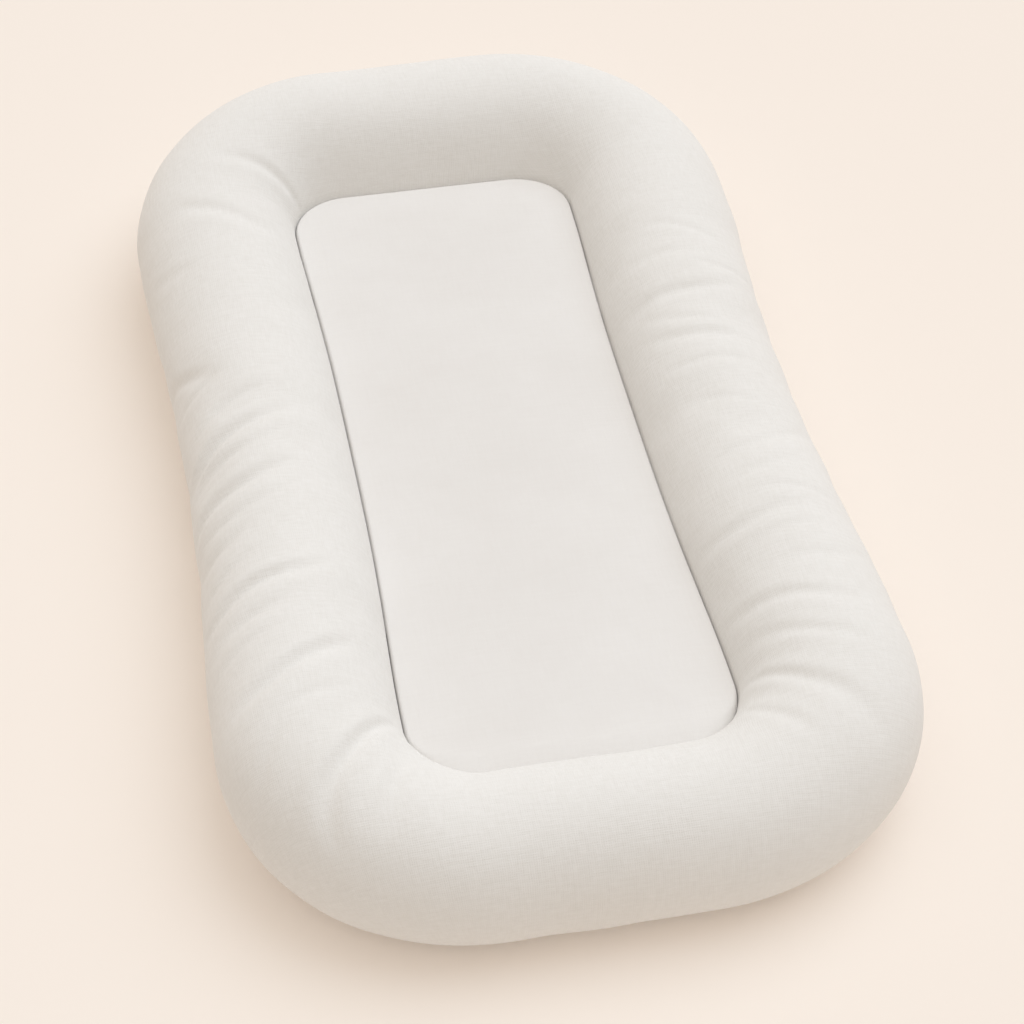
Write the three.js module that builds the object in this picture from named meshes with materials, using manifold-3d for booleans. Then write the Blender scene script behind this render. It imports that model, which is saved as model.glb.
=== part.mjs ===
// Infant lounger: a waisted ring bolster sewn round a low pad, in a cloth cover with a zip underneath.
// Millimetres. +Y runs to the head end, +Z is up, the floor is z = 0, the origin lies under the middle.
import * as THREE from 'three';
import { mergeVertices } from 'three/addons/utils/BufferGeometryUtils.js';
import Module from 'manifold-3d';

const wasm = await Module();
wasm.setup();

// The well, measured along the seam between pad and bolster
const wellLength = 580;
const wellHeadWidth = 214;
const wellFootWidth = 217;
const wellWaistWidth = 204;
const wellCornerRadius = 43;
const waistOffset = 20; // the narrowest place lies this far from the well's middle, towards the head
const waistPower = 1.6; // over 1, the waist stays narrow for longer

// The bolster, as the width of the stuffed tube
const bolsterWaistWidth = 116;
const bolsterShoulderWidth = 120;
const bolsterHeadWidth = 126;
const bolsterFootWidth = 107;
const bolsterHeightShare = 0.95; // the tube's height over its width
const restFlatDepth = 0.5; // how far its weight flattens the tube where it lies on the floor
const padSeamHeight = 60; // the pad is sewn on about level with the tube's middle, at one height all round

// Angles round the tube's section, in degrees from its outermost line, up over the top
const padAllowanceAngle = 10; // the seam allowance that is turned down inside
const baseSeamAngle = -58;
const restEdgeAngle = 8; // either side of straight down
const closingSeamAngle = 2; // the lining's closing seam, either side of straight down

// Cloth and seams
const coverCloth = 1.2;
const liningCloth = 0.8;
const sewnGap = 0.3; // between two layers that lie on each other

// The pad's top
const padEdgeRound = 8;
const padEdgeRise = 5;
const padCrown = 3.6;
const foamSideEase = 1.6; // between the foam's side and the turned down seam allowance
const foamEdgeRound = 3;

// The underside between the tubes
const baseRise = 7; // the bolster holds the middle of the base this far off the floor
const baseRamp = 20; // inwards of the pad's seam, where the rise is complete

// The zip, along the middle of the underside
const zipLength = 360;
const toothPitch = 4;
const toothNeck = 1;
const toothHead = 1.8;
const toothTip = 1.2;
const toothThickness = 2.2;
const toothReach = 1.3; // past the zip's middle line
const toothHeadShare = 0.67; // how far along a tooth it is widest
const toothPhaseShare = 0.25; // of the pitch, by which each row lies off the middle
const beadInner = 1.6;
const beadWidth = 1.4;
const tapeWidth = 14;
const tapeThickness = 0.6;
const tapeOverlap = 5; // what the tapes reach past the ends of the base's slot
const slotEnd = 32; // the slot's length past the last tooth
const slotEase = 0.9; // between the slider and the slot's edges
const zipHollowEase = 0.5; // between the zip and the foam above it

const sliderLength = 11;
const sliderPlate = 1.1;
const sliderWall = 1.2;
const sliderFlare = 1;
const runningGap = 0.3;
const dividerLength = 2.8;
const bailThickness = 2;
const bailBand = 0.9;
const bailOpening = 4;
const bailDepth = 2;
const bailChamfer = 0.5;

const pullLength = 24; // from the hinge to the tip
const pullWidth = 7;
const pullThickness = 0.9;
const pullArm = 1.1;
const pullHoleRadius = 1.6;
const pullFloorGap = 0.3;

const stopWall = 0.9;
const stopLength = 3;
const overrun = 1; // cuts and joined bodies run on by this much

// Steps of the mesh
const endSteps = 2;
const cornerSteps = 6;
const sideSteps = 8;
const archSteps = 7; // round the tube, from its outermost line over the top to the pad's seam
const slantShare = 0.3; // the ring on the pad's rounded edge
const padRingShares = [0.55, 0.2];

const colours = {
  woven: 0xecebe6,
  pad: 0xe6e4df,
  base: 0xdedad2,
  lining: 0xf2f1ec,
  fibre: 0xf6f6f4,
  foam: 0xf1eee2,
  tape: 0xe4e1d9,
  metal: 0xcfcdc8,
};

const cloth = (color) => new THREE.MeshStandardMaterial({ color, roughness: 0.9, metalness: 0 });
const metal = (color) => new THREE.MeshStandardMaterial({ color, roughness: 0.45, metalness: 0.8 });

const { lerp, degToRad, radToDeg } = THREE.MathUtils;
const easeInOut = (t) => 0.5 - 0.5 * Math.cos(Math.PI * t);

// The seam line

const wellHalfLength = wellLength / 2;
const sideEnd = wellHalfLength - wellCornerRadius;

// How far along from the waist to the corner a place on the side lies, from 0 to 1
function sideShare(y) {
  const towards = y > waistOffset ? 1 : -1;
  return Math.min(1, (towards * (y - waistOffset)) / (sideEnd - towards * waistOffset));
}

function sideStation(y) {
  const towards = y > waistOffset ? 1 : -1;
  const waist = wellWaistWidth / 2;
  const end = (towards > 0 ? wellHeadWidth : wellFootWidth) / 2;
  const share = sideShare(y) ** waistPower;
  const width = lerp(waist, end, easeInOut(share));
  const reach = sideEnd - towards * waistOffset;
  const climb = sideShare(y) ** (waistPower - 1) * Math.sin(Math.PI * share);
  const slope = (towards * (end - waist) * 0.5 * Math.PI * waistPower * climb) / reach;
  const normal = new THREE.Vector2(1, -slope).normalize();
  return { x: width, y, nx: normal.x, ny: normal.y, halfWidth: width };
}

// One end's stations from its middle to where the side begins: towards is 1 at the head, -1 at the foot
function endStations(towards) {
  const halfWidth = (towards > 0 ? wellHeadWidth : wellFootWidth) / 2;
  const straight = halfWidth - wellCornerRadius;
  const stations = [];
  for (let i = 0; i < endSteps; i += 1) {
    const x = (straight * i) / endSteps;
    stations.push({ x, y: towards * wellHalfLength, nx: 0, ny: towards, halfWidth });
  }
  for (let i = 0; i <= cornerSteps; i += 1) {
    const angle = (Math.PI / 2) * (1 - i / cornerSteps);
    const nx = Math.cos(angle);
    const ny = towards * Math.sin(angle);
    const x = straight + wellCornerRadius * nx;
    stations.push({ x, y: towards * sideEnd + wellCornerRadius * ny, nx, ny, halfWidth });
  }
  return stations;
}

// The tube's section for its width, and the angle round it at which the pad is sewn on
function tubeSection(width) {
  const tubeHalfHeight = (width / 2) * bolsterHeightShare;
  const below = (tubeHalfHeight - restFlatDepth - padSeamHeight) / tubeHalfHeight;
  return { tubeHalfWidth: width / 2, tubeHalfHeight, seamAngle: 180 + radToDeg(Math.asin(below)) };
}

// How far a tube's outermost line lies beyond the seam line
function tubeReach({ tubeHalfWidth, seamAngle }) {
  return tubeHalfWidth * (1 - Math.cos(degToRad(seamAngle)));
}

// All stations, from the foot's middle up the right side to the head's middle and back down the left
function seamStations() {
  const right = endStations(-1);
  for (let i = 1; i < sideSteps; i += 1) {
    right.push(sideStation(lerp(-sideEnd, sideEnd, i / sideSteps)));
  }
  right.push(...endStations(1).reverse());
  const left = right.slice(1, -1).reverse().map((s) => ({ ...s, x: -s.x, nx: -s.nx }));
  return [...right, ...left].map((station) => {
    const sideTube = lerp(bolsterWaistWidth, bolsterShoulderWidth, easeInOut(sideShare(station.y)));
    const endTube = station.y > 0 ? bolsterHeadWidth : bolsterFootWidth;
    return { ...station, ...tubeSection(sideTube * station.nx ** 2 + endTube * station.ny ** 2) };
  });
}

const stations = seamStations();

// Places on the bolster and the pad, each for one station

// A point round the tube's section, at a depth below the cover's outer face
function onBolster(station, degrees, depth) {
  const angle = degToRad(degrees);
  const middle = tubeReach(station) - station.tubeHalfWidth;
  const out = middle + (station.tubeHalfWidth - depth) * Math.cos(angle);
  const z = station.tubeHalfHeight - restFlatDepth + (station.tubeHalfHeight - depth) * Math.sin(angle);
  return new THREE.Vector3(station.x + station.nx * out, station.y + station.ny * out, Math.max(z, depth));
}

const insetFrom = (station, inset, z) =>
  new THREE.Vector3(station.x - station.nx * inset, station.y - station.ny * inset, z);

// The seam line drawn in towards the well's middle, to a share of its width
function shrunk(station, share, z) {
  const lengthShare = 1 - ((1 - share) * station.halfWidth) / wellHalfLength;
  return new THREE.Vector3(station.x * share, station.y * lengthShare, z);
}

// The pad's height over its seam: a rounded edge, then a low crown
function padHeight(inset) {
  const fromCrest = 1 - Math.min(1, inset / padEdgeRound);
  const fromMiddle = 1 - inset / (wellWaistWidth / 2);
  return padEdgeRise * Math.sqrt(1 - fromCrest ** 2) + padCrown * (1 - fromMiddle ** 2);
}

function onPadEdge(station, inset, depth) {
  const level = inset / padEdgeRound;
  return insetFrom(station, inset + depth * (1 - level), padSeamHeight + padHeight(inset) - depth * level);
}

function onPadTop(station, share, depth) {
  const height = padHeight((1 - share) * (wellWaistWidth / 2));
  return shrunk(station, share, padSeamHeight + height - depth);
}

// Meshes

const ring = (place) => stations.map(place);

// A mesh through rings of points. Closed, the last ring joins the first; open, each end gets a cap,
// whose strips run from the right side to the left. From the ring numbered turn, where a layer's inner
// face runs back along its outer one, quads are split the other way, so that layers stay parallel
function skin(rings, closed, turn = rings.length) {
  const count = stations.length;
  const positions = rings.flat().flatMap((p) => p.toArray());
  const index = [];
  const last = closed ? rings.length : rings.length - 1;
  for (let r = 0; r < last; r += 1) {
    const from = r * count;
    const to = ((r + 1) % rings.length) * count;
    for (let i = 0; i < count; i += 1) {
      const next = (i + 1) % count;
      if (r < turn) {
        index.push(from + i, from + next, to + next, from + i, to + next, to + i);
      } else {
        index.push(from + i, from + next, to + i, from + next, to + next, to + i);
      }
    }
  }
  if (!closed) {
    addCap(index, 0, count, true);
    addCap(index, (rings.length - 1) * count, count, false);
  }
  const geometry = new THREE.BufferGeometry();
  geometry.setAttribute('position', new THREE.Float32BufferAttribute(positions, 3));
  geometry.setIndex(index);
  return facingOut(geometry);
}

function addCap(index, start, count, flipped) {
  const face = (a, b, c) => index.push(start + a, start + (flipped ? c : b), start + (flipped ? b : c));
  face(0, 1, count - 1);
  for (let i = 1; i < count / 2 - 1; i += 1) {
    face(i, i + 1, count - i - 1);
    face(i, count - i - 1, count - i);
  }
  face(count / 2 - 1, count / 2, count / 2 + 1);
}

function facingOut(geometry) {
  const p = geometry.attributes.position;
  const index = geometry.index.array;
  const [a, b, c] = [new THREE.Vector3(), new THREE.Vector3(), new THREE.Vector3()];
  let volume = 0;
  for (let i = 0; i < index.length; i += 3) {
    a.fromBufferAttribute(p, index[i]);
    b.fromBufferAttribute(p, index[i + 1]);
    c.fromBufferAttribute(p, index[i + 2]);
    volume += a.dot(b.cross(c));
  }
  if (volume < 0) {
    for (let i = 0; i < index.length; i += 3) {
      [index[i + 1], index[i + 2]] = [index[i + 2], index[i + 1]];
    }
  }
  return geometry;
}

function toSolid(source) {
  const bare = source.clone();
  bare.deleteAttribute('normal');
  bare.deleteAttribute('uv');
  const merged = mergeVertices(bare);
  return new wasm.Manifold(new wasm.Mesh({
    numProp: 3,
    vertProperties: Float32Array.from(merged.attributes.position.array),
    triVerts: Uint32Array.from(merged.index.array),
  }));
}

function toGeometry(solid) {
  const mesh = solid.getMesh();
  const geometry = new THREE.BufferGeometry();
  geometry.setAttribute('position', new THREE.BufferAttribute(Float32Array.from(mesh.vertProperties), 3));
  geometry.setIndex(new THREE.BufferAttribute(Uint32Array.from(mesh.triVerts), 1));
  return geometry;
}

const shapeFrom = (points) => new THREE.Shape(points.map(([x, y]) => new THREE.Vector2(x, y)));

// An outline in plan, given a thickness about a level
function flatPlate(shape, low, high, curveSegments = 6) {
  const depth = high - low;
  const settings = { depth, bevelEnabled: false, steps: 1, curveSegments };
  return new THREE.ExtrudeGeometry(shape, settings).translate(0, 0, low);
}

// An outline across the zip, in x and z, drawn out along y
function alongZip(shape, from, length) {
  const geometry = new THREE.ExtrudeGeometry(shape, { depth: length, bevelEnabled: false, steps: 1 });
  return geometry.rotateX(Math.PI / 2).translate(0, from + length, 0);
}

function part(name, geometry, material) {
  const mesh = new THREE.Mesh(geometry, material);
  mesh.name = name;
  return mesh;
}

// The bolster's layers

const archAngles = (s) => Array.from({ length: archSteps + 1 }, (_, i) => (s.seamAngle * i) / archSteps);
const turnedDown = (s) => s.seamAngle + padAllowanceAngle;
const coverAngles = (s) => [baseSeamAngle, baseSeamAngle / 2, ...archAngles(s), turnedDown(s)];
const liningLow = -90 + closingSeamAngle;
const liningEnd = 270 - closingSeamAngle;
const liningAngles = (s) => [
  liningLow, baseSeamAngle, baseSeamAngle / 2, ...archAngles(s), (s.seamAngle + liningEnd) / 2, liningEnd,
];
const liningDepth = coverCloth + sewnGap;
const fillDepth = liningDepth + liningCloth + sewnGap;

function tubeRings(angles, depth) {
  return angles(stations[0]).map((_, i) => ring((s) => onBolster(s, angles(s)[i], depth)));
}

function tubeShell(angles, depth, thickness) {
  const outside = tubeRings(angles, depth);
  return skin([...outside, ...tubeRings(angles, depth + thickness).reverse()], true, outside.length);
}

const bolsterCover = () => tubeShell(coverAngles, 0, coverCloth);
const bolsterLining = () => tubeShell(liningAngles, liningDepth, liningCloth);
const bolsterFill = () => skin(tubeRings(liningAngles, fillDepth), true);

// The pad: its cloth is sewn in along the seam line, with the allowance turned down beside the tube

function centrePanel() {
  const outer = [
    ...padRingShares.toReversed().map((share) => ring((s) => onPadTop(s, share, 0))),
    ring((s) => onPadEdge(s, padEdgeRound, 0)),
    ring((s) => onPadEdge(s, padEdgeRound * slantShare, 0)),
    ring((s) => onBolster(s, s.seamAngle, -sewnGap)),
    ring((s) => onBolster(s, turnedDown(s), -sewnGap)),
  ];
  const inner = [
    ...padRingShares.toReversed().map((share) => ring((s) => onPadTop(s, share, coverCloth))),
    ring((s) => onPadEdge(s, padEdgeRound, coverCloth)),
    ring((s) => onPadEdge(s, padEdgeRound * slantShare, coverCloth)),
    ring((s) => onBolster(s, s.seamAngle, -sewnGap - coverCloth)),
    ring((s) => onBolster(s, turnedDown(s), -sewnGap - coverCloth)),
  ];
  return skin([...outer, ...inner.reverse()], false, outer.length);
}

// The zip's levels, from the base's middle upwards
const tapeMiddle = baseRise + coverCloth + sewnGap + tapeThickness / 2;
const channelHalfHeight = toothThickness / 2 + runningGap;
const sliderHalfHeight = channelHalfHeight + sliderPlate;
const beadOuter = beadInner + beadWidth;
const channelHalfWidth = beadOuter + runningGap;
const sliderHalfWidth = channelHalfWidth + sliderWall + sliderFlare;
const slotHalfWidth = sliderHalfWidth + slotEase;
const slotHalfLength = zipLength / 2 + slotEnd;
const tapeOuter = beadInner + tapeWidth;
const tapeHalfLength = slotHalfLength + tapeOverlap;
const beadHalfLength = slotHalfLength - slotEase;

function mattressFoam() {
  const depth = coverCloth + sewnGap;
  const sideInset = sewnGap + coverCloth + foamSideEase;
  const low = baseRise + coverCloth + sewnGap;
  const block = skin([
    ring((s) => shrunk(s, padRingShares[0], low)),
    ring((s) => insetFrom(s, sideInset + foamEdgeRound, low)),
    ring((s) => insetFrom(s, sideInset, low + foamEdgeRound)),
    ring((s) => insetFrom(s, sideInset, padSeamHeight - sewnGap)),
    ring((s) => onPadEdge(s, padEdgeRound * slantShare, depth)),
    ring((s) => onPadEdge(s, padEdgeRound, depth)),
    ...padRingShares.map((share) => ring((s) => onPadTop(s, share, depth))),
  ], false, 0);
  // The foam gives way over the zip
  const hollowWidth = 2 * (tapeOuter + zipHollowEase);
  const hollowLength = 2 * (tapeHalfLength + zipHollowEase);
  const hollowTop = tapeMiddle + sliderHalfHeight + zipHollowEase;
  const hollowHeight = hollowTop - low + overrun;
  const hollow = new THREE.BoxGeometry(hollowWidth, hollowLength, hollowHeight);
  hollow.translate(0, 0, hollowTop - hollowHeight / 2);
  return toGeometry(toSolid(block).subtract(toSolid(hollow)));
}

// The base: from its seam low on the outside, flat where it lies on the floor, and up to the zip's slot

function basePanel() {
  const seamStart = (s) => baseSeamAngle - radToDeg(sewnGap / s.tubeHalfHeight);
  const onSlot = (s, z) => new THREE.Vector3(
    (slotHalfWidth * s.x) / s.halfWidth, (slotHalfLength * s.y) / wellHalfLength, z,
  );
  const face = (depth) => [
    ring((s) => onBolster(s, seamStart(s), depth)),
    ring((s) => onBolster(s, (baseSeamAngle - 90 + restEdgeAngle) / 2, depth)),
    ring((s) => onBolster(s, -90 + restEdgeAngle, depth)),
    ring((s) => onBolster(s, -90 - restEdgeAngle, depth)),
    ring((s) => insetFrom(s, 0, baseRise / 2 + depth)),
    ring((s) => insetFrom(s, baseRamp, baseRise + depth)),
    ring((s) => onSlot(s, baseRise + depth)),
  ];
  const outer = face(0);
  return skin([...outer, ...face(coverCloth).reverse()], true, outer.length);
}

// The zip: each tape has a bead with its row of flared teeth, half a pitch apart from the other's

function zipTape(side) {
  const count = Math.floor(zipLength / toothPitch);
  const first = -(count * toothPitch) / 2 + toothPitch * (side > 0 ? 1 - toothPhaseShare : toothPhaseShare);
  const widest = beadInner - toothHeadShare * (toothReach + beadInner);
  const edge = [];
  for (let i = 0; i < count; i += 1) {
    const y = first + i * toothPitch;
    edge.push(
      [beadInner, y - toothNeck / 2], [widest, y - toothHead / 2],
      [-toothReach, y - toothTip / 2], [-toothReach, y + toothTip / 2],
      [widest, y + toothHead / 2], [beadInner, y + toothNeck / 2],
    );
  }
  const outline = [
    [beadOuter, beadHalfLength], [beadOuter, -beadHalfLength], [beadInner, -beadHalfLength],
    ...edge, [beadInner, beadHalfLength],
  ];
  const plan = shapeFrom(outline.map(([x, y]) => [side * x, y]));
  const teeth = flatPlate(plan, -toothThickness / 2, toothThickness / 2);
  const stripInner = beadOuter - beadWidth / 2;
  const strip = new THREE.BoxGeometry(tapeOuter - stripInner, 2 * tapeHalfLength, tapeThickness);
  strip.translate((side * (tapeOuter + stripInner)) / 2, 0, 0);
  return toGeometry(toSolid(teeth).add(toSolid(strip)));
}

// The clamp round one bead, as corner points in x and z from the tape's mouth round to it again
const clampInner = beadInner - sewnGap;
const clampOuter = beadOuter + sewnGap;
const clampHalfHeight = toothThickness / 2 + sewnGap;
const mouthHalf = tapeThickness / 2 + sewnGap;
const pocket = [
  [clampOuter + stopWall, -mouthHalf], [clampOuter, -mouthHalf], [clampOuter, -clampHalfHeight],
  [clampInner, -clampHalfHeight], [clampInner, clampHalfHeight], [clampOuter, clampHalfHeight],
  [clampOuter, mouthHalf], [clampOuter + stopWall, mouthHalf],
];
const stopTop = clampHalfHeight + stopWall;

function topStop(side, from) {
  const outline = [
    ...pocket, [clampOuter + stopWall, stopTop], [clampInner - stopWall, stopTop],
    [clampInner - stopWall, -stopTop], [clampOuter + stopWall, -stopTop],
  ];
  return alongZip(shapeFrom(outline.map(([x, z]) => [side * x, z])), from, stopLength);
}

function bottomStop(from) {
  const mirrored = pocket.map(([x, z]) => [-x, z]).reverse();
  const wide = clampOuter + stopWall;
  const outline = [
    ...pocket, [wide, stopTop], [-wide, stopTop], ...mirrored, [-wide, -stopTop], [wide, -stopTop],
  ];
  return alongZip(shapeFrom(outline), from, stopLength);
}

// The slider, from its mouth at y = 0, where the tapes part, to its narrow end
const sliderMouthSide = channelHalfWidth + sliderFlare;
const narrowHalfWidth = channelHalfWidth + sliderWall;

function sliderOutline() {
  const shape = new THREE.Shape();
  shape.moveTo(-narrowHalfWidth, sliderLength);
  shape.quadraticCurveTo(-narrowHalfWidth, sliderLength / 2, -sliderHalfWidth, sliderLength / 3);
  shape.quadraticCurveTo(-sliderHalfWidth, 0, -channelHalfWidth, 0);
  shape.lineTo(channelHalfWidth, 0);
  shape.quadraticCurveTo(sliderHalfWidth, 0, sliderHalfWidth, sliderLength / 3);
  shape.quadraticCurveTo(narrowHalfWidth, sliderLength / 2, narrowHalfWidth, sliderLength);
  return shape;
}

function zipSlider() {
  const body = flatPlate(sliderOutline(), -sliderHalfHeight, sliderHalfHeight);
  const channel = flatPlate(shapeFrom([
    [-sliderMouthSide, -overrun], [sliderMouthSide, -overrun], [channelHalfWidth, sliderLength / 2],
    [channelHalfWidth, sliderLength + overrun], [-channelHalfWidth, sliderLength + overrun],
    [-channelHalfWidth, sliderLength / 2],
  ]), -channelHalfHeight, channelHalfHeight);
  const tapeWay = new THREE.BoxGeometry(
    2 * (sliderHalfWidth + overrun), sliderLength + 2 * overrun, tapeThickness + 2 * runningGap,
  ).translate(0, sliderLength / 2, 0);
  const dividerHalf = beadInner - runningGap;
  const divider = flatPlate(shapeFrom([
    [0, runningGap], [dividerHalf, dividerLength / 2], [0, dividerLength], [-dividerHalf, dividerLength / 2],
  ]), -channelHalfHeight - sliderPlate / 2, channelHalfHeight + sliderPlate / 2);
  const half = bailOpening / 2;
  const far = half + bailBand;
  const into = sliderPlate / 2;
  const bail = alongZipSide([
    [-far, into], [-far, bailChamfer - bailDepth - bailBand], [bailChamfer - far, -bailDepth - bailBand],
    [far - bailChamfer, -bailDepth - bailBand], [far, bailChamfer - bailDepth - bailBand], [far, into],
    [half, into], [half, -bailDepth], [-half, -bailDepth], [-half, into],
  ], bailThickness).translate(0, sliderLength / 2, -sliderHalfHeight);
  const hollowed = toSolid(body).subtract(toSolid(channel)).subtract(toSolid(tapeWay));
  return toGeometry(hollowed.add(toSolid(divider)).add(toSolid(bail)));
}

// An outline seen from the side, in y and z, given a thickness across x
function alongZipSide(points, thickness) {
  const depth = thickness;
  const geometry = new THREE.ExtrudeGeometry(shapeFrom(points), { depth, bevelEnabled: false, steps: 1 });
  const turn = new THREE.Matrix4().set(0, 0, 1, -thickness / 2, 1, 0, 0, 0, 0, 1, 0, 0, 0, 0, 0, 1);
  return geometry.applyMatrix4(turn);
}

// The pull tab: a bar through the bail, two arms past it, and a rounded tab with a finger hole
function zipPull() {
  const barHalf = pullThickness / 2;
  const eyeHalf = bailThickness / 2 + runningGap;
  const eyeEnd = Math.hypot(bailOpening / 2 + bailBand, bailDepth / 2 + bailBand) + 2 * runningGap;
  const neckHalf = eyeHalf + pullArm;
  const tabHalf = pullWidth / 2;
  const tabStart = eyeEnd + 2 * pullArm;
  const neckEnd = eyeEnd - pullArm;
  const outline = new THREE.Shape();
  outline.moveTo(neckHalf, barHalf);
  outline.lineTo(-neckHalf, barHalf);
  outline.lineTo(-neckHalf, -neckEnd);
  outline.lineTo(-tabHalf, -tabStart);
  outline.absarc(0, tabHalf - pullLength, tabHalf, Math.PI, 2 * Math.PI, false);
  outline.lineTo(tabHalf, -tabStart);
  outline.lineTo(neckHalf, -neckEnd);
  outline.holes.push(new THREE.Path([
    [-eyeHalf, -barHalf], [-eyeHalf, -eyeEnd], [eyeHalf, -eyeEnd], [eyeHalf, -barHalf],
  ].map(([x, y]) => new THREE.Vector2(x, y))));
  const hole = new THREE.CylinderGeometry(pullHoleRadius, pullHoleRadius, pullThickness + overrun, 12);
  hole.rotateX(Math.PI / 2).translate(0, tabHalf - pullLength, 0);
  return toGeometry(toSolid(flatPlate(outline, -barHalf, barHalf)).subtract(toSolid(hole)));
}

// The slider's mouth lies just past the first tooth, so its divider stands clear of the teeth
const sliderStart = -zipLength / 2 - dividerLength - runningGap;
const bottomStopStart = zipLength / 2 + runningGap;
const hingeDrop = sliderHalfHeight + bailDepth / 2;
const pullDroop = Math.asin((tapeMiddle - hingeDrop - pullThickness / 2 - pullFloorGap) / pullLength);

function zipAssembly() {
  const zip = new THREE.Group();
  zip.position.z = tapeMiddle;
  zip.add(part('zip_tape_left', zipTape(-1), cloth(colours.tape)));
  zip.add(part('zip_tape_right', zipTape(1), cloth(colours.tape)));
  const topStopStart = sliderStart - runningGap - stopLength;
  zip.add(part('zip_top_stop_left', topStop(-1, topStopStart), metal(colours.metal)));
  zip.add(part('zip_top_stop_right', topStop(1, topStopStart), metal(colours.metal)));
  zip.add(part('zip_bottom_stop', bottomStop(bottomStopStart), metal(colours.metal)));
  const slider = new THREE.Group();
  slider.position.y = sliderStart;
  slider.add(part('zip_slider', zipSlider(), metal(colours.metal)));
  const pull = part('zip_pull', zipPull(), metal(colours.metal));
  pull.position.set(0, sliderLength / 2, -hingeDrop);
  pull.rotation.x = pullDroop;
  slider.add(pull);
  zip.add(slider);
  return zip;
}

const lounger = new THREE.Group();
lounger.add(part('bolster_cover', bolsterCover(), cloth(colours.woven)));
lounger.add(part('centre_panel', centrePanel(), cloth(colours.pad)));
lounger.add(part('base_panel', basePanel(), cloth(colours.base)));
lounger.add(part('bolster_lining', bolsterLining(), cloth(colours.lining)));
lounger.add(part('bolster_fill', bolsterFill(), cloth(colours.fibre)));
lounger.add(part('mattress_foam', mattressFoam(), cloth(colours.foam)));
lounger.add(zipAssembly());

// The head's bolster is the wider one, so the well's middle lies a little nearer the foot
const headReach = tubeReach(tubeSection(bolsterHeadWidth));
const footReach = tubeReach(tubeSection(bolsterFootWidth));
lounger.position.y = (footReach - headReach) / 2;

export default lounger;
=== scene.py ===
import math

import bpy
import numpy as np
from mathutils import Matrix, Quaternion, Vector, noise


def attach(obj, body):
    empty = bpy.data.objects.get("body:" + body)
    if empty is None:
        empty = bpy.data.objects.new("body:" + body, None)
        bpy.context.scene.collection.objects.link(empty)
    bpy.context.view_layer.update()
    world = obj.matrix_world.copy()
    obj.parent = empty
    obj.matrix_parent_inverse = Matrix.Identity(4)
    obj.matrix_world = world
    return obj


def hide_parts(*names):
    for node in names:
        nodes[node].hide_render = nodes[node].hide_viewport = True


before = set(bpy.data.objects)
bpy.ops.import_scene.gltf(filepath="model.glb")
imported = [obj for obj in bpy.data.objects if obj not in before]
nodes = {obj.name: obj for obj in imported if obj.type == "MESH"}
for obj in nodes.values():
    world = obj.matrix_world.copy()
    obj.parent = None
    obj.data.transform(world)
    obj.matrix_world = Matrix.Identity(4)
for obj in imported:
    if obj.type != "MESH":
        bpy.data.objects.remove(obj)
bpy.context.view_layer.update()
print("frame loaded:", len(nodes), "pieces")

# The well's outline, measured along the seam between pad and ring
well = {
    "length": 0.580,
    "headWidth": 0.214,
    "footWidth": 0.217,
    "waistWidth": 0.204,
    "cornerRadius": 0.043,
    "waistOffset": 0.02,  # the narrowest place lies a little nearer the head
    "waistPower": 1.6,
}

# The stuffed tube round it
tube = {
    "waistWidth": 0.116,
    "shoulderWidth": 0.12,
    "headWidth": 0.126,
    "footWidth": 0.107,
    "heightShare": 0.95,
    "restFlat": 0.0005,
    "seamHeight": 0.06,
    "baseSeamAngle": -58,  # round the section, from its outermost line up over the top
    "allowanceAngle": 10,
}

# How finely the ring is divided: each stretch of the seam line that its stations are chosen from,
# the stations from an end's middle to a corner's middle and up a side, and round the section
# over the top, along the turned down allowance, and underneath
steps = {"line": 400, "end": 50, "side": 220, "over": 60, "allowance": 2, "under": 24}
crestAngle, floorAngle = 90, -90


def easeInOut(share):
    return 0.5 - 0.5 * np.cos(np.pi * share)


def lerp(a, b, share):
    return a + (b - a) * share


# The seam line, with its outward direction: x, y, nx, ny

halfLengthOfWell = well["length"] / 2
sideEnd = halfLengthOfWell - well["cornerRadius"]


def nearerEnd(y):
    towards = np.where(y > well["waistOffset"], 1, -1)
    return towards, sideEnd - towards * well["waistOffset"]


def sideShare(y):
    towards, reach = nearerEnd(y)
    return np.clip(towards * (y - well["waistOffset"]) / reach, 0, 1)


def sideLine(many):
    y = np.linspace(-sideEnd, sideEnd, many + 2)[1:-1]
    towards, reach = nearerEnd(y)
    waist = well["waistWidth"] / 2
    end = np.where(towards > 0, well["headWidth"], well["footWidth"]) / 2
    share = sideShare(y) ** well["waistPower"]
    climb = sideShare(y) ** (well["waistPower"] - 1) * np.sin(np.pi * share)
    slope = towards * (end - waist) * 0.5 * np.pi * well["waistPower"] * climb / reach
    size = np.hypot(1, slope)
    return np.stack([lerp(waist, end, easeInOut(share)), y, 1 / size, -slope / size], 1)


def endLine(towards, many):
    corner = well["cornerRadius"]
    straight = (well["headWidth"] if towards > 0 else well["footWidth"]) / 2 - corner
    flat = np.linspace(0, straight, many, endpoint=False)
    turn = np.radians(np.linspace(90, 0, many))
    nx = np.concatenate([np.zeros(many), np.cos(turn)])
    ny = np.concatenate([np.ones(many), np.sin(turn)])
    x = np.concatenate([flat, straight + corner * np.cos(turn)])
    y = np.concatenate([np.full(many, halfLengthOfWell), sideEnd + corner * np.sin(turn)])
    return np.stack([x, towards * y, nx, towards * ny], 1)


def along(points):
    return np.concatenate([[0], np.cumsum(np.linalg.norm(np.diff(points, axis=0), axis=1))])


def tubeSection(width):
    halfHeight = width / 2 * tube["heightShare"]
    below = (halfHeight - tube["restFlat"] - tube["seamHeight"]) / halfHeight
    return width / 2, halfHeight, 180 + np.degrees(np.arcsin(below))


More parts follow.
